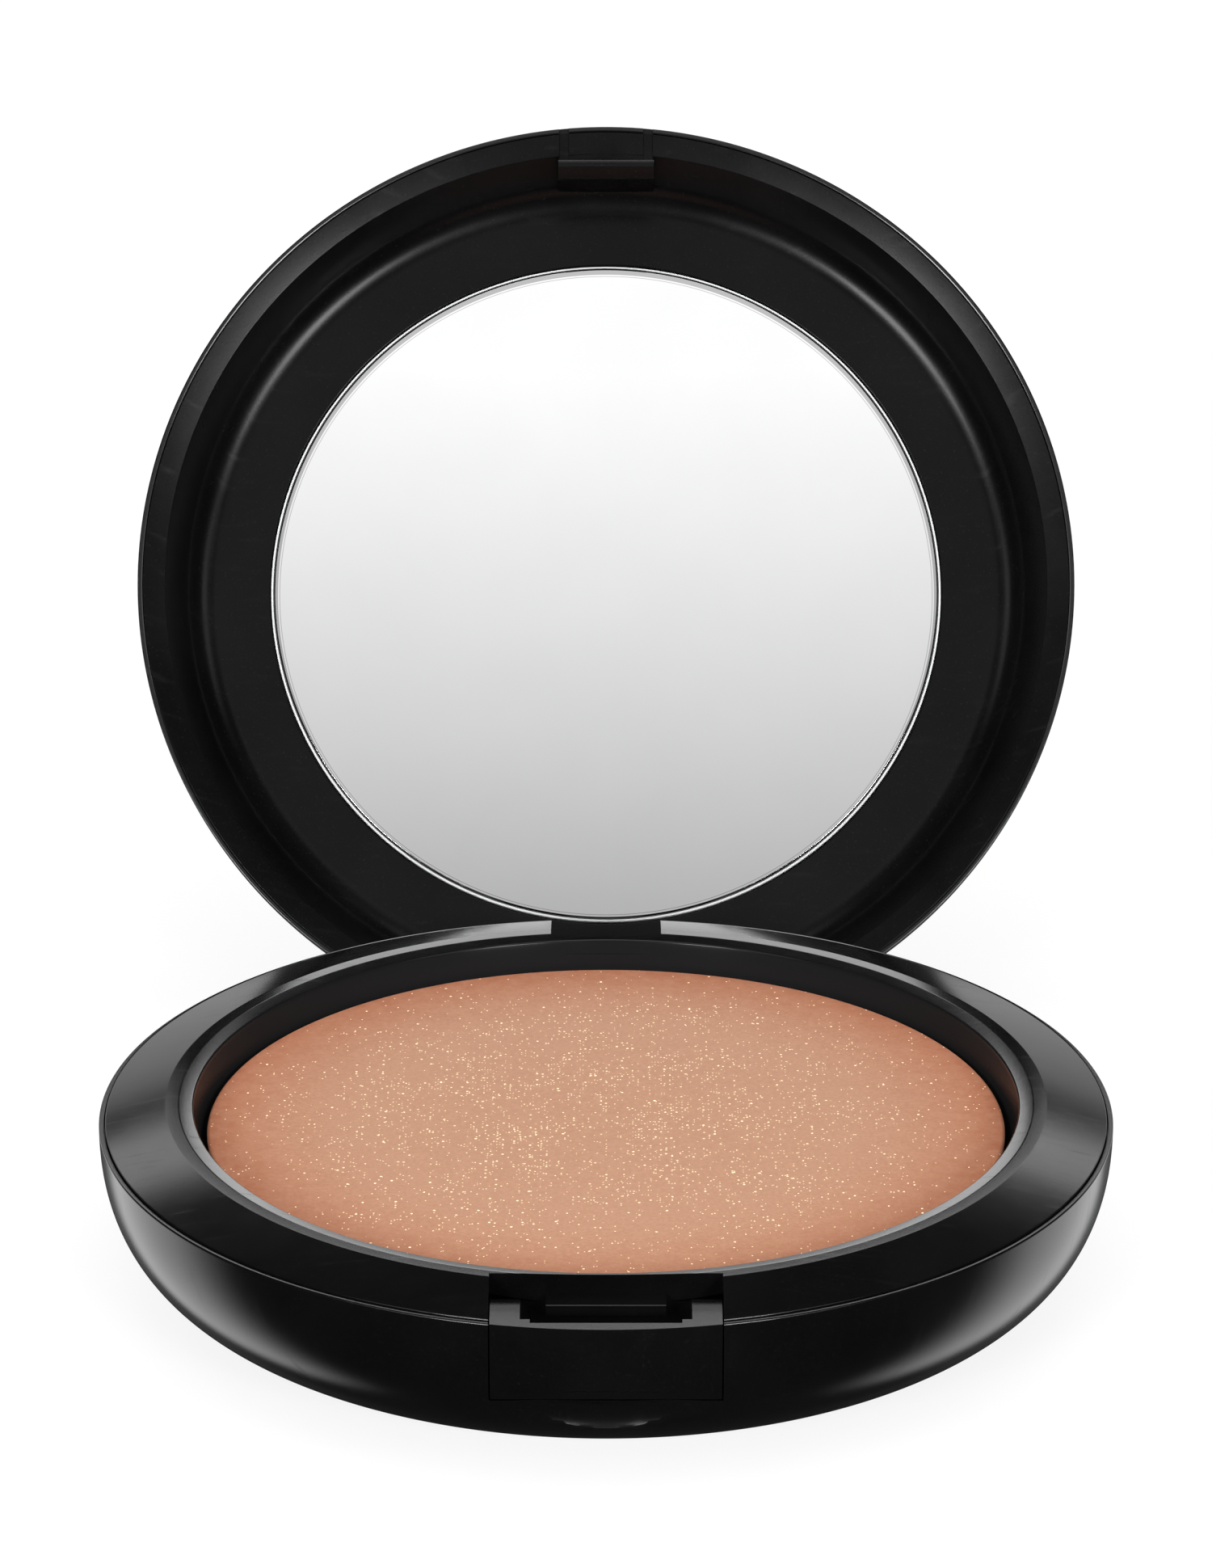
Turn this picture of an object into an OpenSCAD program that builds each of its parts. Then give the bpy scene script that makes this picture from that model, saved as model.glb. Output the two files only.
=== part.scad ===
// Round powder compact, shown open: a bowl-shaped base with a snapped-in frame, a pan of pressed powder
// and a spring-loaded push button, and a domed lid with a mirror that turns on a steel pin.
// The origin is the centre of the foot, on the table. +Z is up and +Y points to the hinge.
// Most heights are counted from the seam, the plane where the closed lid meets the base.

/* [Case] */
// Outside diameter of base and lid
case_d = 75; // [74:0.5:77]
// Height of the seam above the table
base_h = 12.4; // [12.2:0.1:14]
// Height of the lid above the seam
lid_h = 9.2; // [9:0.1:10]
// Wall of both outer shells
wall = 1.4; // [1.2:0.1:1.5]

/* [Frame ring] */
// Outer radius of the narrow land around the well
land_r = 32.57; // [32.3:0.1:33]
// Height of the land above the seam
land_h = 1.27; // [1.2:0.01:1.4]
// Radius of the well at its floor
well_r = 30; // [29.9:0.05:30.1]

/* [Powder and mirror] */
// Radius of the pressed powder
powder_r = 29.55; // [29:0.05:29.6]
// Height of the powder's crown over its edge
powder_crown = 0.4; // [0.1:0.1:0.8]
// Radius of the mirror
mirror_r = 27; // [25:0.5:27]

/* [Motion] */
// How far the lid opens from closed, in degrees
lid_open = 121.8; // [90:0.1:121.8]
// Travel of the push button
button_travel = 1.2; // [0.8:0.1:1.2]

/* [Hidden] */
$fn = 120;

case_r = case_d / 2;
black = [0.07, 0.07, 0.075];
eps = 0.01;
far = 60;

// Profile of the shells: a superellipse in radius and depth
bowl_depth = base_h + 1.2;
bowl_round = 6.2;
bowl_fall = 2.3;
dome_round = 7;
dome_fall = 2.4;
profile_steps = 28;

// Edge lip and rebate that take a frame's flange
lip_t = 0.4;
lip_edge = 0.12;
rebate_d = 0.8;
flange_gap = 0.06;
inner_r = case_r - wall;
flange_r = case_r - lip_t - flange_gap;
fit_gap = 0.06;
skirt_t = 1.1;
skirt_h = 4;
snap_z = 2.8;
snap_r = 0.25;

// Base inside
floor_t = 1.3;
rib_t = 1.1;
rib_ring_r = 14;
rib_reach = 26;
rib_h = 2.4;
label_r = 20;
label_t = 0.15;

// Well and pan stack, from the seam downwards
band_edge_z = 0.12;
land_in_r = 31.6;
land_tilt = 10;
well_top_r = 30.5;
well_round = 0.2;
powder_edge_z = -0.95;
powder_t = 3.3;
pan_t = 0.25;
pan_r = powder_r - 0.1;
glue_t = 0.15;
pan_floor_z = powder_edge_z - powder_t;
well_floor_z = pan_floor_z - pan_t - glue_t;
plate_t = 1;

// Hinge: its axis runs along X, inside the base's outline
hinge_y = case_r - 4;
hinge_z = -4;
pin_r = 0.75;
pin_half = 7.2;
pin_clear = 0.04;
barrel_r = 2.2;
arm_w = 8.1;
notch_w = 8.6;
sweep_clear = 0.2;
bay_t = 1;
boss_r = 2;
boss_half = 7.6;

// Latch pocket and button
pocket_w = 16.4;
pocket_y = -(case_r - 6.5);
pocket_low = -6.45;
button_w = 16.2;
button_h = 6.3;
panel_in_y = -(case_r - 1.1);
ear_back_y = -(case_r - 4.9);
ear_in = 6;
slot_half = 5.3;
slot_slope_z = -1.4;
ramp_top_z = -1.8;
ramp_low_z = -4.3;
ledge_half = 4.2;
ledge_y = -(case_r - 4.6);
ledge_top_z = -0.3;
ledge_t = 0.9;
tab_out = 0.7;
tab_z = -3.5;
tab_h = 1;
scoop_r = 5;
scoop_y = -(case_r + 2.1);
scoop_z = -9.2;
groove_r = 1.75;
groove_y = -(case_r - 1.4);
groove_z = -8.1;
groove_arc_r = 17;

// Return springs, one in each ear
spring_x = 6.65;
spring_z = -3.3;
spring_bore_r = 1;
spring_bore_d = 2.2;
spring_r = 0.75;
spring_wire = 0.12;
spring_turns = 5;
spring_sides = 6;
spring_per_turn = 12;

// Lid, counted up from the seam when closed
rim_gap = 0.1;
rim_in_r = 35.35;
lid_slope = 60;
lid_fillet = 3;
lid_floor_z = 4.75;
lid_web_t = 0.8;
mirror_face_z = 4.5;
mirror_t = 1;
mirror_bevel = 0.35;
mirror_gap = 0.12;
lid_back_r = 31;
lid_back_z = 3.2;
mirror_seat_z = mirror_face_z + mirror_t + glue_t;
tongue_w = 7.7;
tongue_y = -(case_r - 3.4);
tongue_tip_z = -2.7;
pad_w = 7.6;
pad_groove_w = 0.8;
pad_groove_d = 0.12;
relief_clear = 0.12;
relief_half = 16;
relief_steps = 16;

// Height of the sloping band at radius r
band_slope = (land_h - band_edge_z) / (flange_r - land_r);
function band_z(r) = band_edge_z + (flange_r - r) * band_slope;

// Radius of a superellipse shell at depth z
function shell_r(r, z, depth, round, fall) = r * pow(1 - pow(z / depth, fall), 1 / round);

// Points down the bowl, closer together where it turns under
function bowl_points(r, depth, h) = [
    for (i = [0:profile_steps])
        let (z = h * sin(90 * i / profile_steps))
        [shell_r(r, z, depth, bowl_round, bowl_fall), -z]
];

// Points up the dome, from its edge to the middle of its top
function dome_points(r, depth) = [
    for (i = [0:profile_steps])
        let (z = depth * sin(90 * i / profile_steps))
        [i == profile_steps ? 0 : shell_r(r, z, depth, dome_round, dome_fall), z]
];

// Places what follows at the seam's height
module at_seam() {
    translate([0, 0, base_h])
        children();
}

// Turns a piece drawn closed to where the open lid is
module opened() {
    translate([0, hinge_y, base_h + hinge_z])
        rotate([-lid_open, 0, 0])
            translate([0, -hinge_y, -hinge_z])
                children();
}

// Extrudes a YZ outline along X, centred
module along_x(w) {
    rotate([90, 0, 90])
        linear_extrude(w, center = true)
            children();
}

// Cylinder along X at a place in the YZ plane
module rod_x(r, w, y, z) {
    translate([0, y, z])
        rotate([0, 90, 0])
            cylinder(r = r, h = w, center = true);
}

// Solid of the bowl's outside, from its foot to the seam
module bowl_outside() {
    rotate_extrude()
        polygon(concat([[0, 0]], bowl_points(case_r, bowl_depth, base_h), [[0, -base_h]]));
}

// Half outline of the space inside the bowl, less a margin
module bowl_hollow(margin) {
    polygon(concat(
        [[0, 8], [inner_r - margin, 8]],
        bowl_points(inner_r - margin, bowl_depth - floor_t - margin, base_h - floor_t - margin),
        [[0, -(base_h - floor_t - margin)]]
    ));
}

// Solid of the space inside the bowl, less a margin
module bowl_inside(margin) {
    rotate_extrude()
        bowl_hollow(margin);
}

// Thumb scoop below the button, a round groove along X
module scoop() {
    rod_x(scoop_r, 30, scoop_y, scoop_z);
}

// Room for the lid's arm, from closed, straight up, to open
module arm_sweep() {
    half = barrel_r + sweep_clear;
    along_x(notch_w)
        translate([hinge_y, hinge_z]) {
            circle(r = half);
            translate([-half, 0])
                square([far, far]);
            rotate(-lid_open)
                translate([-half, 0])
                    square([2 * half, far]);
            polygon([[0, far], [0, 0], [far * sin(lid_open), far * cos(lid_open)], [far, far]]);
        }
}

// Crescent fingernail groove at the foot of the scoop: a round groove on a tilted arc
module nail_groove() {
    translate([0, groove_y, groove_z])
        rotate([-45, 0, 0])
            translate([0, -groove_arc_r, 0])
                rotate_extrude()
                    translate([groove_arc_r, 0])
                        circle(r = groove_r, $fn = 64);
}

module base_shell() {
    color(black)
        at_seam()
            difference() {
                union() {
                    difference() {
                        bowl_outside();
                        bowl_inside(0);
                    }
                    intersection() {
                        bowl_inside(-eps);
                        shell_ribs();
                    }
                }
                rotate_extrude() {
                    lip_cuts();
                    translate([inner_r - fit_gap - 0.2, -snap_z])
                        circle(r = snap_r + 0.08, $fn = 32);
                }
                translate([0, 0, -base_h - eps])
                    cylinder(r = label_r + 0.1, h = label_t + eps);
                translate([-pocket_w / 2, -far, pocket_low])
                    cube([pocket_w, far + pocket_y, far]);
                scoop();
                nail_groove();
                arm_sweep();
            }
}

// Ring rib under the pan and six short webs
module shell_ribs() {
    low = -base_h + floor_t - eps;
    translate([0, 0, low])
        difference() {
            cylinder(r = rib_ring_r, h = well_floor_z - plate_t - 0.05 - low);
            translate([0, 0, -eps])
                cylinder(r = rib_ring_r - rib_t, h = far);
        }
    for (a = [30:60:330])
        rotate(a)
            translate([rib_ring_r - rib_t / 2, -rib_t / 2, low])
                cube([rib_reach - rib_ring_r, rib_t, rib_h]);
}

// Rebate behind a shell's edge lip, and its broken corners
module lip_cuts() {
    translate([0, -rebate_d])
        square([case_r - lip_t, rebate_d + 2]);
    for (r = [case_r, case_r - lip_t])
        translate([r, 0])
            rotate(45)
                square(lip_edge * sqrt(2), center = true);
}

// Half outline of the well; the land's inner part tilts down to a small round at the well's edge
module well_hollow() {
    edge_r = well_top_r + well_round;
    edge_z = land_h - (land_in_r - edge_r) * tan(land_tilt) - well_round / cos(land_tilt);
    polygon(concat(
        [[0, well_floor_z], [well_r, well_floor_z], [well_r, powder_edge_z - 0.1]],
        [for (i = [0:6])
            let (a = 180 - (90 - land_tilt) * i / 6)
            [edge_r + well_round * cos(a), edge_z + well_round * sin(a)]
        ],
        [[land_in_r, land_h], [land_in_r, 8], [0, 8]]
    ));
}

// Cross-section of the frame ring before its well is cut: plate, land, sloping band, flange and skirt
module frame_section() {
    skirt_in = inner_r - fit_gap - skirt_t;
    well_out = well_r + 1.2;
    difference() {
        polygon([
            [0, well_floor_z - plate_t], [well_out, well_floor_z - plate_t], [well_out, -1],
            [land_r, land_h - 1.3], [skirt_in, band_z(skirt_in) - 1.2], [skirt_in, -skirt_h],
            [case_r, -skirt_h], [case_r, -rebate_d + 0.02], [flange_r, -rebate_d + 0.02],
            [flange_r, band_edge_z], [land_r, land_h], [0, land_h]
        ]);
        difference() {
            translate([skirt_in, -skirt_h - 1])
                square([case_r, skirt_h + 1.02 - rebate_d]);
            bowl_hollow(fit_gap);
        }
        translate([flange_r, band_edge_z])
            rotate(45)
                square(0.1, center = true);
    }
    translate([inner_r - fit_gap - 0.2, -snap_z])
        circle(r = snap_r, $fn = 32);
}

// Everything the frame carries besides its ring, before it is cut
module frame_blocks() {
    intersection() {
        bowl_inside(0.1);
        union() {
            translate([-pocket_w / 2 - 1.2, -far, pocket_low - 0.9])
                cube([pocket_w + 2.4, far + pocket_y + 1, -pocket_low]);
            along_x(notch_w + 2 * bay_t)
                translate([hinge_y, hinge_z]) {
                    circle(r = barrel_r + sweep_clear + bay_t);
                    rotate(-lid_open)
                        square([barrel_r + sweep_clear + bay_t, far]);
                    translate([-barrel_r - sweep_clear - bay_t, 0])
                        square([2 * barrel_r, -hinge_z]);
                }
            along_x(2 * boss_half) {
                translate([hinge_y, hinge_z])
                    circle(r = boss_r);
                translate([hinge_y - boss_r, hinge_z])
                    square([2 * boss_r, -hinge_z + 0.3]);
            }
        }
    }
}

module base_frame() {
    color(black)
        at_seam() {
            difference() {
                union() {
                    rotate_extrude()
                        frame_section();
                    frame_blocks();
                }
                rotate_extrude()
                    well_hollow();
                arm_sweep();
                rod_x(pin_r, 2 * pin_half, hinge_y, hinge_z);
                translate([-pocket_w / 2, -far, pocket_low])
                    cube([pocket_w, far + pocket_y, far]);
                translate([-pocket_w / 2 - tab_out - 0.2, ear_back_y - 1.3, tab_z - tab_h / 2 - 0.1])
                    cube([pocket_w + 2 * tab_out + 0.4, 1.4 + button_travel, tab_h + 0.2]);
            }
            translate([-ledge_half, ledge_y, ledge_top_z - ledge_t])
                cube([2 * ledge_half, pocket_y - ledge_y + 0.2, ledge_t]);
        }
}

module powder_pan() {
    color("silver")
        at_seam()
            rotate_extrude()
                difference() {
                    translate([0, pan_floor_z - pan_t])
                        square([pan_r, pan_t + powder_t - 0.35]);
                    translate([0, pan_floor_z])
                        square([pan_r - pan_t, powder_t]);
                }
}

// The cake fills the pan and stands over its rim with a rounded, crowned top
module powder_cake() {
    edge_round = 0.3;
    crown_r = powder_r - edge_round;
    color([0.80, 0.58, 0.46])
        at_seam()
            rotate_extrude()
                union() {
                    translate([0, pan_floor_z])
                        square([pan_r - pan_t, powder_t - 0.3]);
                    polygon(concat(
                        [[0, powder_edge_z - 0.34], [powder_r, powder_edge_z - 0.34]],
                        [for (a = [0:15:75]) [
                            crown_r + edge_round * cos(a),
                            powder_edge_z - edge_round + edge_round * sin(a)
                        ]],
                        [for (i = [0:10])
                            let (r = crown_r * (1 - i / 10))
                            [r, powder_edge_z + powder_crown * (1 - pow(r / crown_r, 2))]
                        ]
                    ));
                }
}

module pan_glue() {
    color("ivory")
        at_seam()
            translate([0, 0, well_floor_z])
                cylinder(r = 12, h = glue_t);
}

module base_label() {
    color("lightgray")
        cylinder(r = label_r, h = label_t);
}

// Outline of the button's middle, seen from the side: front panel, ramp and back
module button_middle() {
    polygon([
        [-far, 0], [panel_in_y, 0], [panel_in_y, ramp_top_z], [ear_back_y - 0.4, ramp_low_z],
        [ear_back_y - 0.4, -button_h], [-far, -button_h]
    ]);
}

module push_button() {
    half = button_w / 2;
    color(black)
        at_seam()
            difference() {
                union() {
                    intersection() {
                        bowl_outside();
                        union() {
                            along_x(button_w - eps)
                                button_middle();
                            for (side = [-1, 1])
                                button_ear(side);
                        }
                    }
                    for (side = [-1, 1])
                        translate([side > 0 ? half - eps : -half - tab_out, ear_back_y - 1.1, tab_z - tab_h / 2])
                            cube([tab_out + eps, 1, tab_h]);
                }
                scoop();
                for (side = [-1, 1])
                    translate([side * spring_x, ear_back_y - spring_bore_d, spring_z])
                        rotate([-90, 0, 0])
                            cylinder(r = spring_bore_r, h = far);
            }
}

// One ear, running back beside the slot, with its sloping inner face and the corner web at the panel
module button_ear(side) {
    half = button_w / 2;
    translate([0, ear_back_y, 0])
        rotate([90, 0, 0])
            linear_extrude(8)
                polygon([
                    [side * ear_in, 0], [side * half, 0], [side * half, -button_h + 0.2],
                    [side * slot_half, -button_h + 0.2], [side * slot_half, slot_slope_z]
                ]);
    translate([side > 0 ? slot_half : -ear_in - eps, panel_in_y - eps, slot_slope_z])
        cube([ear_in - slot_half + eps, 0.6, -slot_slope_z]);
}

// Two small compression springs, each a round wire swept along a helix
module button_springs() {
    color("silver")
        at_seam()
            for (side = [-1, 1])
                translate([side * spring_x, ear_back_y - spring_bore_d, spring_z])
                    rotate([-90, 0, 0])
                        coil(spring_bore_d + pocket_y - ear_back_y);
}

module coil(length) {
    rise = length - 2 * spring_wire - 0.04;
    rings = spring_turns * spring_per_turn;
    points = [
        for (i = [0:rings], k = [0:spring_sides - 1])
            let (
                turn = 360 * i / spring_per_turn,
                a = 360 * k / spring_sides,
                r = spring_r + spring_wire * cos(a)
            )
            [r * cos(turn), r * sin(turn), spring_wire + 0.02 + rise * i / rings + spring_wire * sin(a)]
    ];
    sides = [
        for (i = [0:rings - 1], k = [0:spring_sides - 1])
            let (
                n = (k + 1) % spring_sides,
                a = i * spring_sides
            )
            [a + k, a + n, a + n + spring_sides, a + k + spring_sides]
    ];
    start = [for (k = [spring_sides - 1:-1:0]) k];
    end = [for (k = [0:spring_sides - 1]) rings * spring_sides + k];
    polyhedron(points, concat([start], sides, [end]));
}

module hinge_pin() {
    color("gainsboro")
        at_seam()
            rod_x(pin_r, 2 * pin_half, hinge_y, hinge_z);
}

// Room for the base's rear edge as the lid turns: a solid of revolution about the hinge axis
module hinge_relief() {
    function edge_y(x) = sqrt(case_r * case_r - x * x) - hinge_y;
    function relief_r(x) = norm([max(edge_y(x), 0), hinge_z]) + relief_clear;
    translate([0, hinge_y, hinge_z])
        rotate([0, 90, 0])
            rotate_extrude()
                polygon(concat(
                    [[0, -relief_half]],
                    [for (i = [-relief_steps:relief_steps])
                        let (x = relief_half * i / relief_steps)
                        [relief_r(x), x]
                    ],
                    [[0, relief_half]]
                ));
}

module lid_shell() {
    color(black)
        opened()
            difference() {
                rotate_extrude()
                    difference() {
                        polygon(concat([[0, 0]], dome_points(case_r, lid_h)));
                        dome_hollow(0);
                        square([far, rim_gap]);
                        translate([0, rim_gap])
                            mirror([0, 1])
                                lip_cuts();
                    }
                hinge_relief();
                latch_grooves();
            }
}

// Half outline of the space inside the dome, less a margin
module dome_hollow(margin) {
    translate([0, -eps])
        polygon(concat([[0, 0]], dome_points(inner_r - margin, lid_h - wall - margin)));
}

// Half outline of the lid's dish: sloping wall, fillet, floor and the mirror's seat
module lid_dish() {
    rim_z = band_z(rim_in_r) + rim_gap;
    run = 1 / tan(lid_slope);
    corner_r = rim_in_r - (lid_floor_z - rim_z) * run;
    cut = lid_fillet * tan(lid_slope / 2);
    polygon(concat(
        [[0, -1], [rim_in_r + (rim_z + 1) * run, -1]],
        [for (i = [0:8])
            let (a = 90 - lid_slope + lid_slope * i / 8)
            [corner_r - cut + lid_fillet * cos(a), lid_floor_z - lid_fillet * (1 - sin(a))]
        ],
        [[mirror_r + mirror_gap, lid_floor_z], [mirror_r + mirror_gap, mirror_seat_z], [0, mirror_seat_z]]
    ));
}

// Cross-section of the lid's inner frame
module lid_section() {
    rim_top = rim_gap + rebate_d - 0.02;
    rim_low = band_z(flange_r) + rim_gap;
    difference() {
        union() {
            polygon([
                [flange_r, rim_low], [flange_r, rim_top],
                [flange_r - (rim_top - rim_low) / band_slope, rim_top]
            ]);
            intersection() {
                dome_hollow(fit_gap);
                polygon([
                    [0, rim_top - eps], [case_r, rim_top - eps], [case_r, lid_back_z],
                    [lid_back_r, mirror_seat_z + lid_web_t], [0, mirror_seat_z + lid_web_t]
                ]);
            }
        }
        lid_dish();
    }
}

// Pad that carries the band's slope on, over the sloping wall, to the tongue
module latch_pad() {
    out = rim_in_r + 0.25;
    along_x(pad_w)
        polygon([
            [-out, band_z(out) + rim_gap], [tongue_y, band_z(-tongue_y) + rim_gap], [tongue_y, 3], [-out, 1.5]
        ]);
}

// Two shallow grooves beside the pad, from the lid's edge to the tongue
module latch_grooves() {
    low = rim_gap + pad_groove_d;
    out = case_r + 1;
    for (side = [-1, 1])
        translate([side * (pad_w - pad_groove_w) / 2, 0, 0])
            along_x(pad_groove_w)
                polygon([
                    [-out, -1], [tongue_y, -1],
                    [tongue_y, band_z(-tongue_y) + low], [-out, band_z(out) + low]
                ]);
}

// The lid's arm: a flat-sided knuckle that reaches down to the hinge pin
module lid_arm() {
    difference() {
        intersection() {
            along_x(arm_w)
                translate([hinge_y, hinge_z]) {
                    circle(r = barrel_r);
                    translate([-barrel_r, 0])
                        square([2 * barrel_r, far]);
                }
            union() {
                rotate_extrude()
                    dome_hollow(fit_gap);
                translate([0, 0, -far])
                    cylinder(r = case_r, h = far + eps);
            }
            difference() {
                translate([0, 0, -far])
                    cylinder(r = case_r, h = far + 4);
                rotate_extrude()
                    intersection() {
                        lid_dish();
                        translate([0, 2])
                            square(far);
                    }
            }
        }
        rod_x(pin_r + pin_clear, 30, hinge_y, hinge_z);
    }
}

// The latch tongue: a plate with a chamfered nose and a lip that turns inwards
module lid_tongue() {
    front = tongue_y + 1;
    along_x(tongue_w)
        polygon([
            [tongue_y, 4.3], [tongue_y, tongue_tip_z + 0.6], [tongue_y + 0.55, tongue_tip_z],
            [tongue_y + 0.75, tongue_tip_z],
            [front + 0.5, tongue_tip_z + 0.8], [front + 0.5, tongue_tip_z + 1.25], [front, tongue_tip_z + 1.4],
            [front, 4.7]
        ]);
}

module lid_frame() {
    color(black)
        opened() {
            difference() {
                union() {
                    rotate_extrude()
                        lid_section();
                    latch_pad();
                }
                hinge_relief();
                latch_grooves();
            }
            lid_arm();
            lid_tongue();
        }
}

module mirror_glass() {
    color("white")
        opened()
            rotate_extrude()
                polygon([
                    [0, mirror_face_z], [mirror_r - mirror_bevel, mirror_face_z],
                    [mirror_r, mirror_face_z + 0.2], [mirror_r, mirror_face_z + mirror_t],
                    [0, mirror_face_z + mirror_t]
                ]);
}

module mirror_glue() {
    color("ivory")
        opened()
            translate([0, 0, mirror_face_z + mirror_t])
                cylinder(r = mirror_r - 2, h = glue_t);
}

base_shell();
base_frame();
powder_pan();
powder_cake();
pan_glue();
base_label();
push_button();
button_springs();
hinge_pin();
lid_shell();
lid_frame();
mirror_glass();  // mirror
mirror_glue();
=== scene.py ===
"""Looks of the round powder compact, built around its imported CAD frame. Lengths are in millimetres
until a mesh is made; heights named z are counted from the seam where the closed lid meets the base."""

import math

import bmesh
import bpy
from mathutils import Matrix, Vector, noise


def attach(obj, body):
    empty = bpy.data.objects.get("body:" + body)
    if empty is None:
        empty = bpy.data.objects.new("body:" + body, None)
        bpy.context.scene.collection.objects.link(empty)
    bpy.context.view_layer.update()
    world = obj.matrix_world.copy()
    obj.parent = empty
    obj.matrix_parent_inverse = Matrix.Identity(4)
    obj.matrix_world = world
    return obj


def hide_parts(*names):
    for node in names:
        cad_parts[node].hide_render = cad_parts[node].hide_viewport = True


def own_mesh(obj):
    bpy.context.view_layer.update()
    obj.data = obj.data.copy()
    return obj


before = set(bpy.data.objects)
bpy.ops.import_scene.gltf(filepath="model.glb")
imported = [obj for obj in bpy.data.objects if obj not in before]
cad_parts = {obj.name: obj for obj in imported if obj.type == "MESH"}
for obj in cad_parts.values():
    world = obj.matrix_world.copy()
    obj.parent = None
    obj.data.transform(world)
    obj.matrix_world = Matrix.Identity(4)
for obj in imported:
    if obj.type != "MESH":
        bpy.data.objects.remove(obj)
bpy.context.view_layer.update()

MM = 0.001
FAR = 60.0
SEGMENTS = 288

# Case: the seam's height over the table is also the bowl's depth
SEAM = 12.4
CASE_R = 37.5
WALL = 1.4
INNER_R = CASE_R - WALL
BOWL_IN = 11.1
LID_H = 9.2
FIT = 0.06
RIM_GAP = 0.1
BOWL_SINK, BOWL_POWER, BOWL_FALL = 1.2, 6.2, 2.3
DOME_POWER, DOME_FALL = 7, 2.4

# Edge lip of the base, the frame's flange beside it, and the sloping band up to the flat land
LIP_R = 37.1
LIP_DEPTH = 0.8
FLANGE_R = 37.04
BAND_EDGE_Z = 0.12
LAND_R = 32.57
LAND_Z = 1.27
BAND_SLOPE = (LAND_Z - BAND_EDGE_Z) / (FLANGE_R - LAND_R)

# Well, powder and mirror
WELL_R = 30.0
WELL_TOP_R = 30.54
WELL_FLOOR = -4.65
POWDER_R = 29.55
MIRROR_R = 27.0
MIRROR_FACE_Z = 4.5

# Latch, button and hinge
TONGUE_Y = -34.1
TONGUE_HALF = 3.85
PAD_HALF = 3.8
EAR_BACK_Y = -32.6
SPRING_X = 6.65
SPRING_Z = -3.3
SPRING_START_Y = -34.8
SPRING_END_Y = -31.0
HINGE_Y = 33.5
HINGE_Z = -4.0
LID_OPEN = 121.8


# ---------------------------------------------------------------- outlines and meshes

def band_z(r):
    return BAND_EDGE_Z + (FLANGE_R - r) * BAND_SLOPE


def superellipse_r(r, z, depth, power, fall):
    return r * max(1 - (z / depth) ** fall, 0) ** (1 / power)


def shell_points(r, depth, height, power, fall, sign, steps):
    """Points of a superellipse shell from its edge to the given height below or above the seam."""
    out = []
    for i in range(steps + 1):
        z = height * math.sin(math.pi / 2 * i / steps)
        out.append((superellipse_r(r, z, depth, power, fall), sign * z))
    return out


def bowl_points(r, floor_z, steps=64):
    return shell_points(r, floor_z + BOWL_SINK, floor_z, BOWL_POWER, BOWL_FALL, -1, steps)


def dome_points(r, height, steps=64):
    pts = shell_points(r, height, height, DOME_POWER, DOME_FALL, 1, steps)
    pts[-1] = (0.0, height)
    return pts


def rounded(corners, steps=6):
    """Closed outline with each corner (u, v, radius) turned into an arc."""
    out = []
    n = len(corners)
    for i, corner in enumerate(corners):
        p = Vector(corner[:2])
        radius = corner[2] if len(corner) > 2 else 0
        a = Vector(corners[i - 1][:2]) - p
        b = Vector(corners[(i + 1) % n][:2]) - p
        if not radius or a.length < 1e-6 or b.length < 1e-6:
            out.append((p.x, p.y))
            continue
        half = a.angle(b) / 2
        if half > math.radians(89):
            out.append((p.x, p.y))
            continue
        reach = min(radius / math.tan(half), a.length * 0.49, b.length * 0.49)
        r = reach * math.tan(half)
        centre = p + (a.normalized() + b.normalized()).normalized() * (r / math.sin(half))
        start = p + a.normalized() * reach - centre
        end = p + b.normalized() * reach - centre
        turn = start.angle_signed(end)
        for k in range(steps + 1):
            v = start.copy()
            v.rotate(Matrix.Rotation(-turn * k / steps, 2))
            out.append(tuple(centre + v))
    return out


def to_object(bm, name):
    bmesh.ops.remove_doubles(bm, verts=bm.verts, dist=1e-5)
    bmesh.ops.recalc_face_normals(bm, faces=bm.faces)
    mesh = bpy.data.meshes.new(name)
    bm.to_mesh(mesh)
    bm.free()
    obj = bpy.data.objects.new(name, mesh)
    bpy.context.scene.collection.objects.link(obj)
    return obj


def lathe(name, outline, segments=SEGMENTS, bump=None):
    """A closed (r, z) outline turned about the Z axis."""
    bm = bmesh.new()
    rings = []
    for r, z in outline:
        if r < 1e-5:
            rings.append([bm.verts.new((0, 0, z + SEAM))])
            continue
        ring = []
        for k in range(segments):
            a = 2 * math.pi * (k + 0.5) / segments
            x, y = r * math.cos(a), r * math.sin(a)
            rise = bump(x, y, r, z) if bump else 0
            ring.append(bm.verts.new((x, y, z + rise + SEAM)))
        rings.append(ring)
    for i, low in enumerate(rings):
        high = rings[(i + 1) % len(rings)]
        if len(low) == 1 and len(high) == 1:
            continue
        for k in range(segments):
            n = (k + 1) % segments
            if len(low) == 1:
                bm.faces.new((low[0], high[n], high[k]))
            elif len(high) == 1:
                bm.faces.new((low[k], low[n], high[0]))
            else:
                bm.faces.new((low[k], low[n], high[n], high[k]))
    return to_object(bm, name)


def prism_x(name, outline, x0, x1):
    """A (y, z) outline extruded along X."""
    bm = bmesh.new()
    ends = [[bm.verts.new((x, y, z + SEAM)) for y, z in outline] for x in (x0, x1)]
    bm.faces.new(ends[0])
    bm.faces.new(list(reversed(ends[1])))
    for i in range(len(outline)):
        n = (i + 1) % len(outline)
        bm.faces.new((ends[0][i], ends[0][n], ends[1][n], ends[1][i]))
    return to_object(bm, name)


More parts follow.
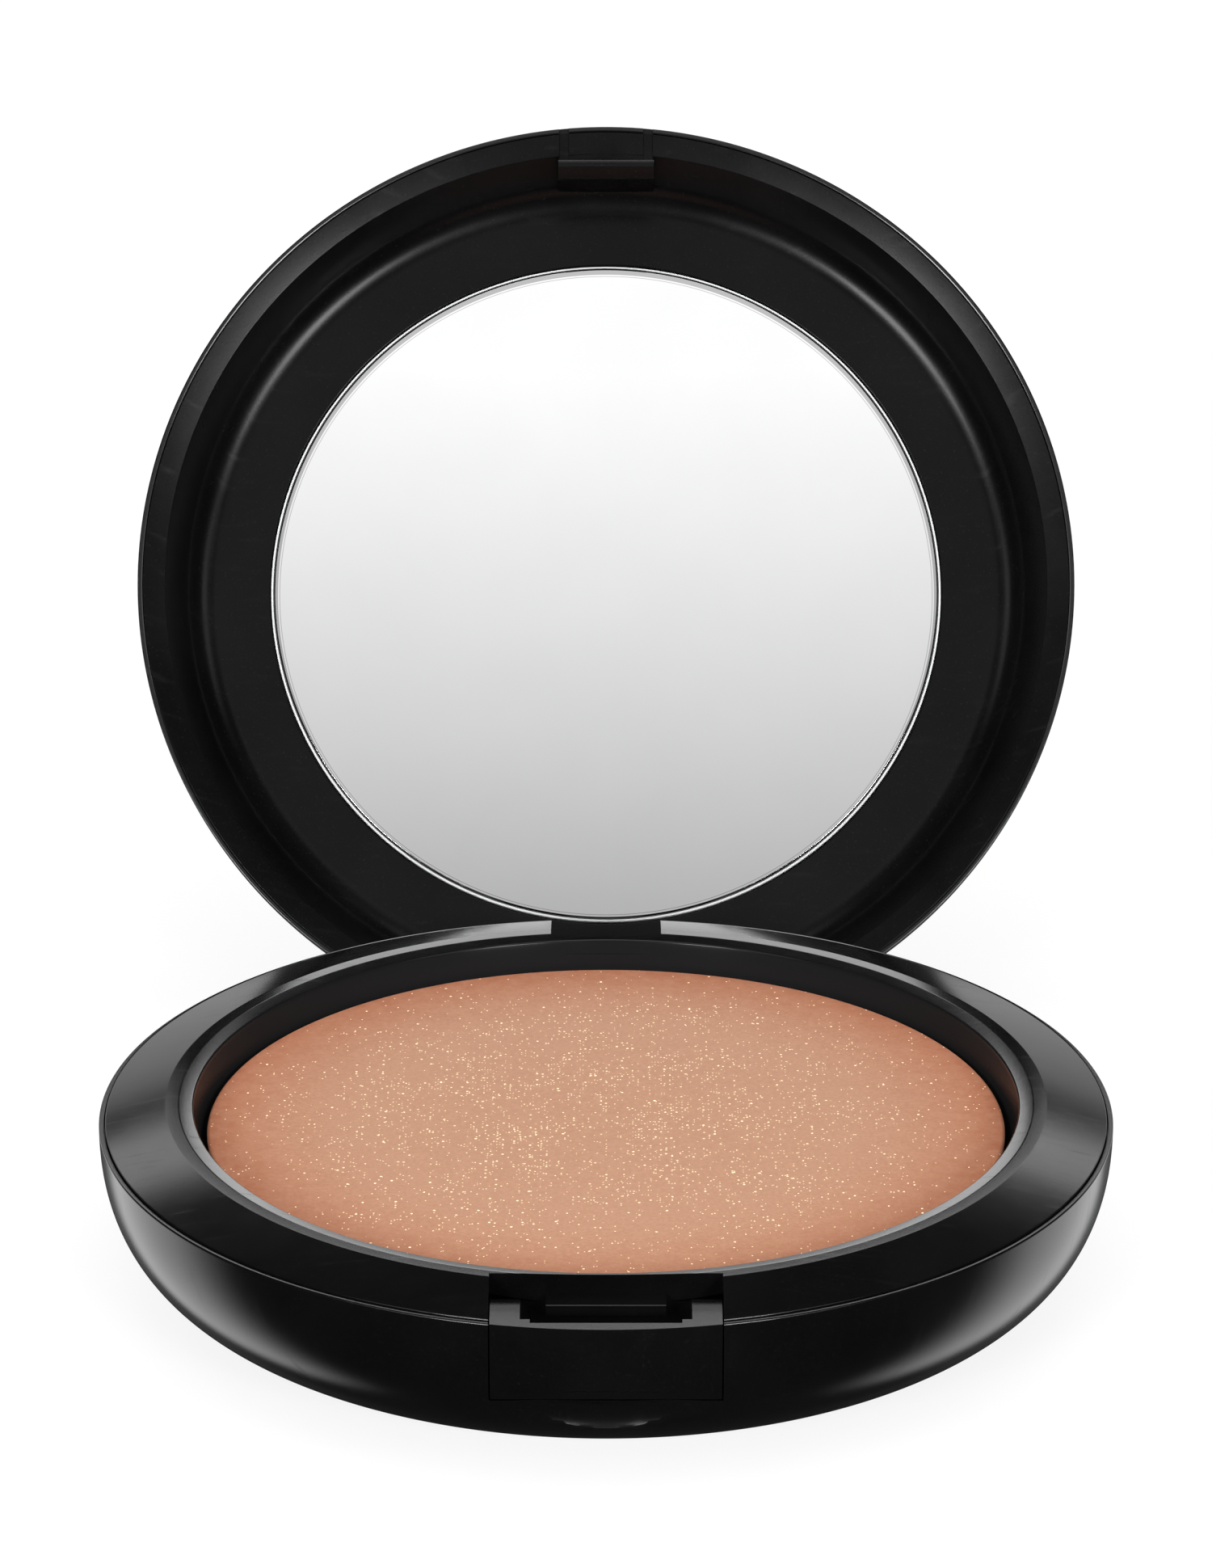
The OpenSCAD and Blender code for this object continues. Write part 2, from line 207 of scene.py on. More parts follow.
def prism_y(name, outline, y0, y1):
    """An (x, z) outline extruded along Y."""
    obj = prism_x(name, [(-x, z) for x, z in outline], y0, y1)
    obj.data.transform(Matrix.Rotation(math.pi / 2, 4, "Z"))
    return obj


def box(name, x0, x1, y0, y1, z0, z1):
    return prism_x(name, [(y0, z0), (y1, z0), (y1, z1), (y0, z1)], x0, x1)


def circle_yz(y, z, r, start=0, end=360, steps=64):
    return [
        (y + r * math.cos(math.radians(start + (end - start) * i / steps)),
         z + r * math.sin(math.radians(start + (end - start) * i / steps)))
        for i in range(steps + (0 if end - start == 360 else 1))
    ]


def rod_x(name, r, x0, x1, y, z, steps=64):
    return prism_x(name, circle_yz(y, z, r, steps=steps), x0, x1)


def cut(obj, *tools, op="DIFFERENCE"):
    """Applies a Boolean with each tool, and removes the tools."""
    for tool in tools:
        mod = obj.modifiers.new("cut", "BOOLEAN")
        mod.object = tool
        mod.operation = op
        mod.solver = "EXACT"
        settle(obj)
        bpy.data.objects.remove(tool)
    return obj


def settle(obj):
    """Turns an object's modifiers into its mesh."""
    dg = bpy.context.evaluated_depsgraph_get()
    mesh = bpy.data.meshes.new_from_object(obj.evaluated_get(dg))
    obj.modifiers.clear()
    obj.data = mesh
    return obj


def add(obj, *tools):
    return cut(obj, *tools, op="UNION")


def keep_common(obj, *tools):
    return cut(obj, *tools, op="INTERSECT")


def soften(obj, width, angle, segments):
    """Breaks an object's sharp edges."""
    mod = obj.modifiers.new("edges", "BEVEL")
    mod.width = width
    mod.segments = segments
    mod.limit_method = "ANGLE"
    mod.angle_limit = math.radians(angle)
    mod.use_clamp_overlap = True
    return settle(obj)


def shade(obj, angle=30):
    """Smooth shading, with faces that meet at more than the angle kept crisp."""
    bm = bmesh.new()
    bm.from_mesh(obj.data)
    bmesh.ops.remove_doubles(bm, verts=bm.verts, dist=2e-4)
    bmesh.ops.dissolve_degenerate(bm, dist=1e-4, edges=bm.edges)
    bmesh.ops.delete(bm, geom=[edge for edge in bm.edges if not edge.link_faces], context="EDGES")
    bmesh.ops.delete(bm, geom=[vert for vert in bm.verts if not vert.link_faces], context="VERTS")
    for face in bm.faces:
        face.smooth = True
    for edge in bm.edges:
        edge.smooth = len(edge.link_faces) == 2 and edge.calc_face_angle(0) < math.radians(angle)
    bm.to_mesh(obj.data)
    bm.free()
    return obj


def open_lid(obj):
    """Turns a piece made closed to where the open lid is."""
    hinge = Vector((0, HINGE_Y, HINGE_Z + SEAM))
    turn = Matrix.Rotation(math.radians(-LID_OPEN), 4, "X")
    obj.data.transform(Matrix.Translation(hinge) @ turn @ Matrix.Translation(-hinge))
    return obj


def place(obj, body, slot, *nodes, material=None):
    obj.data.transform(Matrix.Scale(MM, 4))
    obj.data.materials.clear()
    obj.data.materials.append(material)
    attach(obj, body)
    if nodes:
        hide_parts(*nodes)
    return obj


# ---------------------------------------------------------------- materials

class Nodes:
    """Short hand for a material's node tree."""

    def __init__(self, name):
        self.mat = bpy.data.materials.new(name)
        self.mat.use_nodes = True
        self.tree = self.mat.node_tree
        self.shader = self.tree.nodes["Principled BSDF"]
        self.coords = self.new("ShaderNodeTexCoord").outputs["Object"]

    def new(self, kind, **settings):
        node = self.tree.nodes.new(kind)
        for key, value in settings.items():
            setattr(node, key, value)
        return node

    def link(self, a, b):
        self.tree.links.new(a, b)

    def noise(self, scale, detail=2, rough=0.5, stretch=None):
        node = self.new("ShaderNodeTexNoise")
        node.inputs["Scale"].default_value = scale
        node.inputs["Detail"].default_value = detail
        node.inputs["Roughness"].default_value = rough
        source = self.coords
        if stretch:
            mapping = self.new("ShaderNodeMapping")
            mapping.inputs["Scale"].default_value = stretch
            self.link(self.coords, mapping.inputs["Vector"])
            source = mapping.outputs["Vector"]
        self.link(source, node.inputs["Vector"])
        return node.outputs["Fac"]

    def from_axis(self):
        """Distance from the Z axis."""
        split = self.new("ShaderNodeSeparateXYZ")
        self.link(self.coords, split.inputs[0])
        flat = self.new("ShaderNodeCombineXYZ")
        self.link(split.outputs["X"], flat.inputs["X"])
        self.link(split.outputs["Y"], flat.inputs["Y"])
        length = self.new("ShaderNodeVectorMath", operation="LENGTH")
        self.link(flat.outputs[0], length.inputs[0])
        return length.outputs["Value"]

    def spread(self, value, low, high, to_low, to_high):
        node = self.new("ShaderNodeMapRange")
        for key, number in (("From Min", low), ("From Max", high), ("To Min", to_low), ("To Max", to_high)):
            node.inputs[key].default_value = number
        self.link(value, node.inputs["Value"])
        return node.outputs["Result"]

    def mix(self, factor, a, b):
        node = self.new("ShaderNodeMix", data_type="RGBA")
        for socket, value in ((node.inputs["Factor"], factor), (node.inputs["A"], a), (node.inputs["B"], b)):
            if isinstance(value, bpy.types.NodeSocket):
                self.link(value, socket)
            else:
                socket.default_value = value
        return node.outputs["Result"]

    def maths(self, operation, a, b=0.0):
        node = self.new("ShaderNodeMath", operation=operation)
        for socket, value in zip(node.inputs, (a, b)):
            if isinstance(value, bpy.types.NodeSocket):
                self.link(value, socket)
            else:
                socket.default_value = value
        return node.outputs["Value"]

    def bump(self, height, strength, distance):
        node = self.new("ShaderNodeBump")
        node.inputs["Strength"].default_value = strength
        node.inputs["Distance"].default_value = distance * MM
        self.link(height, node.inputs["Height"])
        return node.outputs["Normal"]

    def set(self, **sockets):
        for key, value in sockets.items():
            socket = self.shader.inputs[key.replace("_", " ")]
            if isinstance(value, bpy.types.NodeSocket):
                self.link(value, socket)
            else:
                socket.default_value = value
        return self.mat


def plastic(name, dark, light, rough_low, rough_high, grain, gloss=0.5, matte_radius=None):
    """Satin moulded plastic: fine matte grain, faint cloudy handling marks and hairline scratches.
    Inside matte_radius, in mm from the Z axis, the gloss falls away."""
    n = Nodes(name)
    fine = n.noise(5200, 2, 0.6)
    cloud = n.noise(90, 4, 0.6)
    hair = n.noise(260, 2, 0.5, stretch=(1, 9, 1))
    tone = n.mix(n.spread(cloud, 0.3, 0.7, 0, 1), dark, light)
    tone = n.mix(n.spread(fine, 0.62, 0.8, 0, 0.5), tone, (0.016, 0.016, 0.017, 1))
    rough = n.spread(cloud, 0.3, 0.7, rough_low, rough_high)
    rough = n.maths("ADD", rough, n.spread(hair, 0.6, 0.75, 0.0, 0.06))
    if matte_radius:
        outside = n.spread(n.from_axis(), (matte_radius - 0.1) * MM, (matte_radius + 0.1) * MM, 0, 1)
        tone = n.mix(outside, (0.0120, 0.0122, 0.0130, 1), tone)
        gloss = n.spread(outside, 0, 1, 0.04, gloss)
    n.set(
        Base_Color=tone, Roughness=rough, Normal=n.bump(fine, grain, 0.02),
        Specular_IOR_Level=gloss, IOR=1.47,
    )
    return n.mat


def powder_material():
    """Pressed powder: warm fine grain, a painted shade that deepens the colour towards the pan's wall, and
    small gold flecks that give off a faint painted glint.
    """
    n = Nodes("pressed_powder")
    radius = n.from_axis()
    # painted shade: the colour darkens and deepens towards the pan's wall, where the rim falls in shade
    edge = n.spread(radius, 17 * MM, 29.5 * MM, 0, 1)
    edge = n.maths("POWER", edge, 1.7)
    colour = n.mix(edge, (0.480, 0.258, 0.162, 1), (0.355, 0.104, 0.042, 1))
    mottle = n.noise(900, 5, 0.65)
    colour = n.mix(n.spread(mottle, 0.3, 0.7, 0, 0.30), colour, (0.58, 0.33, 0.21, 1))
    grain = n.noise(3600, 2, 0.6)
    colour = n.mix(n.spread(grain, 0.35, 0.75, 0.30, 0.0), colour, (0.30, 0.13, 0.07, 1))

    density = n.spread(radius, 8 * MM, 29 * MM, 1.0, 0.10)
    clumps = n.spread(n.noise(230, 3, 0.6), 0.35, 0.65, 0.35, 1.25)
    density = n.maths("MULTIPLY", density, clumps)
    fleck_mask = None
    for scale, share, size in ((2500, 0.16, 0.22), (4600, 0.15, 0.27)):
        cells = n.new("ShaderNodeTexVoronoi", voronoi_dimensions="2D")
        cells.inputs["Scale"].default_value = scale
        n.link(n.coords, cells.inputs["Vector"])
        tint = n.new("ShaderNodeSeparateColor")
        n.link(cells.outputs["Color"], tint.inputs[0])
        chosen = n.maths("LESS_THAN", tint.outputs["Red"], n.maths("MULTIPLY", density, share))
        reach = n.spread(tint.outputs["Green"], 0, 1, size * 0.55, size * 1.15)
        near = n.maths("LESS_THAN", cells.outputs["Distance"], reach)
        mask = n.maths("MULTIPLY", chosen, near)
        mask = n.maths("MULTIPLY", mask, n.spread(tint.outputs["Blue"], 0, 1, 0.45, 1.0))
        fleck_mask = mask if fleck_mask is None else n.maths("MAXIMUM", fleck_mask, mask)
    colour = n.mix(fleck_mask, colour, (1.0, 0.86, 0.58, 1))
    rough = n.spread(fleck_mask, 0, 1, 0.85, 0.35)
    # the flecks also give off light of their own: a painted glint
    glow = n.mix(fleck_mask, (0, 0, 0, 1), (1.0, 0.80, 0.48, 1))
    n.set(
        Base_Color=colour, Roughness=rough, Normal=n.bump(grain, 0.12, 0.03),
        Emission_Color=glow, Emission_Strength=0.35, Specular_IOR_Level=0.12,
        Sheen_Weight=0.06, Sheen_Roughness=0.5,
    )
    return n.mat


def mirror_material():
    """Silvered glass with the faintest haze, a darker border that is partly its silvering's own edge and
    partly a painted reflection of its bevel, and a ground edge.
    """
    n = Nodes("silvered_glass")
    haze = n.noise(140, 3, 0.5)
    turn = math.radians(LID_OPEN)
    up = Vector((0, -math.cos(turn), math.sin(turn)))
    out = Vector((0, -math.sin(turn), -math.cos(turn)))
    hinge = Vector((0, HINGE_Y, HINGE_Z + SEAM))
    centre = (hinge + up * HINGE_Y - out * (MIRROR_FACE_Z - HINGE_Z)) * MM

    def away(point):
        node = n.new("ShaderNodeVectorMath", operation="DISTANCE")
        n.link(n.coords, node.inputs[0])
        node.inputs[1].default_value = point
        return node.outputs["Value"]

    def step(value, radius):
        return n.spread(value, (radius - 0.01) * MM, (radius + 0.01) * MM, 0, 1)

    # the border rings are centred slightly off the mirror's centre, so they also act as a painted reflection
    # of the bevel
    distance, border_and_reflection = away(centre), away(centre - up * 0.17 * MM)
    tone = n.mix(n.spread(haze, 0.3, 0.7, 0, 1), (0.965, 0.968, 0.968, 1), (0.985, 0.987, 0.987, 1))
    # grey border rings: partly the silvering's edge, partly a painted reflection of the bevel
    for radius, grey in ((26.27, 0.60), (26.33, 0.97), (26.45, 0.52)):
        tone = n.mix(step(border_and_reflection, radius), tone, (grey, grey, grey, 1))
    ground_r = 26.77
    tone = n.mix(step(distance, ground_r), tone, (0.03, 0.03, 0.03, 1))
    tone = n.mix(step(distance, ground_r + 0.07), tone, (0.80, 0.81, 0.81, 1))
    ground = step(distance, ground_r)
    n.set(
        Base_Color=tone, Metallic=n.maths("SUBTRACT", 1.0, ground),
        Roughness=n.maths("ADD", n.spread(haze, 0.3, 0.75, 0.004, 0.014), n.maths("MULTIPLY", ground, 0.45)),
    )
    return n.mat


def metal(name, colour, rough, brush):
    n = Nodes(name)
    lines = n.noise(1500, 3, 0.6, stretch=brush)
    tone = n.mix(n.spread(lines, 0.3, 0.7, 0, 1), colour, tuple(c * 0.82 for c in colour[:3]) + (1,))
    n.set(
        Base_Color=tone, Metallic=1.0, Roughness=n.spread(lines, 0.3, 0.7, rough, rough + 0.12),
        Normal=n.bump(lines, 0.15, 0.01),
    )
    return n.mat


def glue_material():
    n = Nodes("clear_adhesive")
    blot = n.noise(350, 3, 0.55)
    tone = n.mix(n.spread(blot, 0.35, 0.65, 0, 1), (0.78, 0.74, 0.60, 1), (0.88, 0.86, 0.76, 1))
    n.set(Base_Color=tone, Roughness=n.spread(blot, 0.3, 0.7, 0.25, 0.5), Normal=n.bump(blot, 0.2, 0.03))
    return n.mat


def label_material():
    """Coated paper disc, blank, with a printed ring and a faint fibre."""
    n = Nodes("label_paper")
    fibre = n.noise(2600, 4, 0.6)
    length = n.new("ShaderNodeVectorMath", operation="LENGTH")
    n.link(n.coords, length.inputs[0])
    ring_r, ring_half = 18.6 * MM, 0.2 * MM
    off_ring = n.maths("ABSOLUTE", n.maths("SUBTRACT", length.outputs["Value"], ring_r))
    ring = n.maths("LESS_THAN", off_ring, ring_half)
    tone = n.mix(n.spread(fibre, 0.3, 0.7, 0, 1), (0.055, 0.055, 0.058, 1), (0.075, 0.075, 0.078, 1))
    tone = n.mix(ring, tone, (0.42, 0.42, 0.43, 1))
    n.set(Base_Color=tone, Roughness=n.spread(fibre, 0.3, 0.7, 0.42, 0.58), Normal=n.bump(fibre, 0.15, 0.01))
    return n.mat


DEEP_BLACK = (0.0018, 0.0018, 0.0020, 1)
CLOUDED_BLACK = (0.0030, 0.0030, 0.0032, 1)
GRAIN = 0.12
shell_black = plastic("shell_plastic_satin", DEEP_BLACK, CLOUDED_BLACK, 0.17, 0.21, GRAIN)
frame_black = plastic(
    "frame_plastic_matte", (0.0020, 0.0020, 0.0022, 1), (0.0034, 0.0034, 0.0036, 1), 0.14, 0.19, GRAIN,
    matte_radius=WELL_TOP_R + 0.02,
)
lid_black = plastic("lid_frame_plastic_matte", DEEP_BLACK, CLOUDED_BLACK, 0.20, 0.25, GRAIN, gloss=0.15)
button_black = plastic("button_plastic_matte", DEEP_BLACK, CLOUDED_BLACK, 0.17, 0.22, GRAIN)
powder_mat = powder_material()
mirror_mat = mirror_material()
pan_mat = metal("pan_tinplate", (0.72, 0.71, 0.68, 1), 0.25, (1, 6, 1))
steel_mat = metal("drawn_steel", (0.66, 0.66, 0.66, 1), 0.18, (0.15, 4, 4))
glue_mat = glue_material()
label_mat = label_material()


# ---------------------------------------------------------------- shared cutters

def hollow_points(margin):
    floor_z = BOWL_IN - margin
    return [(0, 8), (INNER_R - margin, 8)] + bowl_points(INNER_R - margin, floor_z) + [(0, -floor_z)]


def arm_sweep():
    """Room for the lid's arm, from open, straight up, to closed."""
    half = 2.4
    half_width = 4.3
    a = math.radians(LID_OPEN)
    down = Vector((math.sin(a), math.cos(a)))
    side = Vector((math.cos(a), -math.sin(a)))
    corner = Vector((HINGE_Y, HINGE_Z)) + side * half
    arc = circle_yz(HINGE_Y, HINGE_Z, half, 180, 360 - LID_OPEN, 32)
    outline = [(HINGE_Y - half, 20)] + arc + [tuple(corner + down * 12), (FAR, -12), (FAR, 20)]
    return prism_x("arm_sweep", outline, -half_width, half_width)


def pocket():
    """Room for the button, its ears and the latch."""
    half_width, floor_z = 8.2, -6.45
    return box("pocket", -half_width, half_width, -FAR, SPRING_END_Y, floor_z, FAR)


def scoop():
    """A hollow along X under the button, for the fingertip."""
    radius, y, z = 5, -39.6, -9.2
    return rod_x("scoop", radius, -20, 20, y, z, steps=160)


def nail_groove():
    """A round groove on a tilted arc, at the foot of the scoop."""
    tube, arc_r, tilt, steps = 1.75, 17, -45, 48
    middle = Vector((0, -36.1, SEAM - 8.1))
    turns = [2 * math.pi * i / steps for i in range(steps)]
    circle = [(arc_r + tube * math.cos(a), tube * math.sin(a)) for a in turns]
    tool = lathe("groove", [(r, z - SEAM) for r, z in circle], 360)
    tool.data.transform(
        Matrix.Translation(middle) @ Matrix.Rotation(math.radians(tilt), 4, "X")
        @ Matrix.Translation((0, -arc_r, 0))
    )
    return tool


# ---------------------------------------------------------------- base shell

def make_base_shell():
    outer = bowl_points(CASE_R, SEAM, 96)
    inner = bowl_points(INNER_R, BOWL_IN)
    label_r, label_z = 20.1, 0.15 - SEAM
    outline = [(0, label_z), (label_r, label_z), (label_r, -SEAM)]
    outline += list(reversed(outer[1:]))
    lip_low = -0.3
    lip = rounded([(CASE_R, lip_low), (CASE_R, 0, 0.12), (LIP_R, 0, 0.1), (LIP_R, -LIP_DEPTH)])
    outline += [p for p in lip if p[1] > lip_low]
    outline += [(LIP_R, -LIP_DEPTH)]
    rebate_r = superellipse_r(INNER_R, LIP_DEPTH, BOWL_IN + BOWL_SINK, BOWL_POWER, BOWL_FALL)
    outline += [(rebate_r, -LIP_DEPTH)]
    outline += [p for p in inner if p[1] < -LIP_DEPTH - 0.05]
    ring_in, ring_out, ring_top, floor_z = 12.9, 14.0, -5.7, -BOWL_IN
    outline += rounded([
        (28.0, floor_z), (ring_out, floor_z, 0.3), (ring_out, ring_top, 0.15), (ring_in, ring_top, 0.15),
        (ring_in, floor_z, 0.3), (0, floor_z)
    ])[1:]
    shell = lathe("bowl", outline)
    ribs = []
    rib_count, rib_half = 6, 0.55
    for i in range(rib_count):
        rib = box(f"rib_{i}", 13.4, 26, -rib_half, rib_half, -11.3, -8.7)
        rib.data.transform(Matrix.Rotation(math.radians(30 + 360 / rib_count * i), 4, "Z"))
        ribs.append(rib)
    add(shell, *ribs)
    cut(shell, pocket(), scoop(), nail_groove(), arm_sweep())
    return shade(shell)


bowl = make_base_shell()
place(bowl, "base", "shell_plastic", "base_shell", material=shell_black)


# ---------------------------------------------------------------- base frame

def make_base_frame():
    skirt_out, skirt_low = INNER_R - FIT, -4
    skirt_in = skirt_out - 1.1
    flange_low = 0.02 - LIP_DEPTH
    well_out, under_z = WELL_R + 1.2, WELL_FLOOR - 1
    skirt = [p for p in bowl_points(skirt_out, BOWL_IN - FIT) if skirt_low < p[1] < -LIP_DEPTH - 0.05]
    outline = rounded([
        (0, under_z), (well_out, under_z, 0.3), (well_out, -1), (LAND_R, 0.15, 0.6),
        (skirt_in, band_z(skirt_in) - 1.2, 0.3), (skirt_in, skirt_low, 0.1), (skirt[-1][0], skirt_low)
    ])
    outline += list(reversed(skirt))
    outline += rounded([
        (skirt_out, flange_low), (FLANGE_R, flange_low, 0.1), (FLANGE_R, BAND_EDGE_Z, 0.1),
        (LAND_R, LAND_Z, 0.2), (31.6, LAND_Z, 0.8), (WELL_TOP_R, 1.083, 0.2),
        (WELL_R, -1.05), (WELL_R, WELL_FLOOR, 0.25), (0, WELL_FLOOR)
    ], 10)
    ring = lathe("frame_ring", outline)
    inside = lathe("inside", hollow_points(0.1))
    pocket_box = box("housing", -9.4, 9.4, -FAR, -30, -7.35, -0.9)
    bay_half, bay_in, bay_out = 5.3, 30.1, 34.55
    bay = prism_x("bay", (
        [(bay_in, 0.05), (bay_in, HINGE_Z)]
        + circle_yz(HINGE_Y, HINGE_Z, HINGE_Y - bay_in, 180, 360 - LID_OPEN, 32)
        + [(38, -10.79), (38, -6.5), (bay_out, -3), (bay_out, 0.05)]
    ), -bay_half, bay_half)
    boss_half, boss_r, boss_top = 7.6, 2, 0.3
    bosses = prism_x("bosses", (
        [(HINGE_Y - boss_r, boss_top), (HINGE_Y - boss_r, HINGE_Z)]
        + circle_yz(HINGE_Y, HINGE_Z, boss_r, 180, 360, 32)[1:] + [(HINGE_Y + boss_r, boss_top)]
    ), -boss_half, boss_half)
    add(pocket_box, bay, bosses)
    keep_common(pocket_box, inside)
    add(ring, pocket_box)
    pin_r, pin_half = 0.76, 7.2
    cut(ring, arm_sweep(), pocket(), rod_x("pin_hole", pin_r, -pin_half, pin_half, HINGE_Y, HINGE_Z))
    cut(ring, box("tab_room", -9.1, 9.1, -33.9, -31.3, -4.1, -2.9))
    ledge_half, front, back, low, high = 4.2, -32.9, -30.8, -1.2, -0.3
    ledge = prism_x("ledge", rounded([
        (front, low, 0.12), (back, low), (back, high), (front, high, 0.12)
    ]), -ledge_half, ledge_half)
    add(ring, ledge)
    return shade(ring)


base_frame = make_base_frame()
place(base_frame, "base", "frame_plastic", "base_frame", material=frame_black)


# ---------------------------------------------------------------- push button

def make_button():
    panel_in, half, height = -36.4, 8.1, 6.3
    body_back = EAR_BACK_Y - 0.4
    middle = prism_x("panel", [
        (-FAR, 0), (panel_in, 0), (panel_in, -1.8), (body_back, -4.3), (body_back, -height), (-FAR, -height)
    ], -half, half)
    parts = []
    ear_out, ear_top_in, ear_in, ear_low, slope_z = half - 0.001, 6, 5.3, -height + 0.2, -1.4
    for side in (-1, 1):
        ear = prism_y(f"ear_{side}", [
            (side * ear_top_in, 0), (side * ear_out, 0), (side * ear_out, ear_low),
            (side * ear_in, ear_low), (side * ear_in, slope_z)
        ], -40, EAR_BACK_Y)
        web = box(
            f"web_{side}", *sorted((side * ear_in, side * (ear_top_in + 0.05))),
            panel_in - 0.05, panel_in + 0.6, slope_z, -0.0005
        )
        parts += [ear, web]
    add(middle, *parts)
    outside = lathe("outside", [(0, 0)] + bowl_points(CASE_R, SEAM, 96) + [(0, -SEAM)])
    keep_common(middle, outside)
    cut(middle, scoop())
    for side in (-1, 1):
        add(middle, box(f"tab_{side}", *sorted((side * 7.9, side * 8.8)), -33.7, -32.7, -4.0, -3.0))
        bore = [(side * SPRING_X + x, z) for x, z in circle_yz(0, SPRING_Z, 1, steps=48)]
        cut(middle, prism_y(f"bore_{side}", bore, SPRING_START_Y, -30))
    middle.name = "press_button"
    return shade(soften(middle, 0.13, 35, 2), 32)


button = make_button()
place(button, "button", "button_plastic", "push_button", material=button_black)


# ---------------------------------------------------------------- springs

def make_spring(side):
    """A round wire wound along Y, its ends closed up, from the ear's bore to the pocket's rear wall."""
    length, turns, wire, coil_r = 3.8, 6.2, 0.12, 0.75
    curve = bpy.data.curves.new(f"return_spring_{'left' if side < 0 else 'right'}", "CURVE")
    curve.dimensions = "3D"
    curve.bevel_depth = wire
    curve.bevel_resolution = 4
    curve.use_fill_caps = True
    line = curve.splines.new("POLY")
    steps = 220
    line.points.add(steps)
    for i in range(steps + 1):
        t = i / steps
        a = 2 * math.pi * turns * t
        along = (t - math.sin(2 * math.pi * t) * 0.09) * (length - 2 * wire - 0.04) + wire + 0.02
        line.points[i].co = (
            side * SPRING_X + coil_r * math.cos(a), SPRING_START_Y + along,
            SPRING_Z + SEAM + coil_r * math.sin(a), 1
        )
    obj = bpy.data.objects.new(curve.name, curve)
    bpy.context.scene.collection.objects.link(obj)
    dg = bpy.context.evaluated_depsgraph_get()
    mesh = bpy.data.meshes.new_from_object(obj.evaluated_get(dg))
    name = curve.name
    bpy.data.objects.remove(obj)
    spring = bpy.data.objects.new(name, mesh)
    bpy.context.scene.collection.objects.link(spring)
    return shade(spring, 50)


for side in (-1, 1):
    spring = make_spring(side)
    place(spring, "base", "steel", "button_springs", material=steel_mat)
    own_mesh(spring)


# ---------------------------------------------------------------- powder

def make_powder():
    in_pan_r, under_z, edge_z, crown, edge_round = 29.2, -4.25, -0.95, 0.4, 0.3
    crown_r = POWDER_R - edge_round
    pan_edge_z = edge_z - 0.34
    outline = [(0, under_z), (in_pan_r, under_z), (in_pan_r, pan_edge_z), (POWDER_R, pan_edge_z)]
    arc_steps, rings = 8, 70
    for k in range(arc_steps + 1):
        a = math.radians(90 * k / arc_steps)
        outline.append((crown_r + edge_round * math.cos(a), edge_z - edge_round + edge_round * math.sin(a)))
    for i in range(1, rings + 1):
        r = crown_r * (1 - i / rings)
        outline.append((r, edge_z + crown * (1 - (r / crown_r) ** 2)))

    def unevenness(x, y, r, z):
        if r > crown_r - 0.3 or z < edge_z - 0.01:
            return 0
        fade = min((crown_r - r) / 2, 1)
        broad = noise.noise(Vector((x * 0.16, y * 0.16, 3.1))) * 0.03
        fine = noise.noise(Vector((x * 0.9, y * 0.9, 7.7))) * 0.008
        return (broad + fine) * fade - 0.03 * fade

    return shade(lathe("pressed_powder", outline, 240, unevenness), 35)


powder = make_powder()
place(powder, "base", "powder", "powder_cake", material=powder_mat)


# ---------------------------------------------------------------- lid

def dome_hollow_points():
    """The dome's inside, less the fit of the frame in it."""
    drop = 0.01
    inside = dome_points(INNER_R - FIT, LID_H - WALL - FIT)
    return [(0, -drop)] + [(r, z - drop) for r, z in inside]


def hinge_relief():
    """Room for the base's rear edge as the lid turns: a solid of revolution about the hinge axis."""
    reach, steps = 16, 48
    outline = [(0, -reach)]
    for i in range(-steps, steps + 1):
        x = reach * i / steps
        edge = max(math.sqrt(CASE_R * CASE_R - x * x) - HINGE_Y, 0)
        outline.append((math.hypot(edge, HINGE_Z) + 0.12, x))
    outline.append((0, reach))
    tool = lathe("relief", [(r, z - SEAM) for r, z in outline], 256)
    to_hinge = Matrix.Translation((0, HINGE_Y, HINGE_Z + SEAM))
    tool.data.transform(to_hinge @ Matrix.Rotation(math.pi / 2, 4, "Y"))
    return tool


def rim(r):
    """Height of the closed lid's rim over the seam: the base's band and the gap."""
    return band_z(r) + RIM_GAP


def latch_grooves():
    """Two shallow grooves across the lid's rim, beside the pad that carries the tongue."""
    out, depth = CASE_R + 1, 0.12
    outline = [
        (-out, -1), (TONGUE_Y, -1), (TONGUE_Y, rim(-TONGUE_Y) + depth), (-out, rim(out) + depth)
    ]
    edges = (PAD_HALF - 0.8, PAD_HALF)
    return [
        prism_x("groove", outline, *sorted(side * edge for edge in edges)) for side in (-1, 1)
    ]


def make_lid_shell():
    rebate_top = 0.9
    outer = dome_points(CASE_R, LID_H, 96)
    inner = dome_points(INNER_R, LID_H - WALL)
    edge = rounded([
        (LIP_R, rebate_top), (LIP_R, 0.14, 0.04), (37.2, RIM_GAP, 0.05), (CASE_R, RIM_GAP, 0.12),
        (CASE_R, rebate_top)
    ])
    outline = [(0, LID_H - WALL)] + [p for p in reversed(inner[:-1]) if p[1] > rebate_top + 0.02]
    outline += [(INNER_R, rebate_top)] + edge[:-1]
    outline += [p for p in outer if p[1] > 0.3]
    dome = lathe("lid_dome", outline)
    cut(dome, hinge_relief(), *latch_grooves())
    return shade(open_lid(dome))


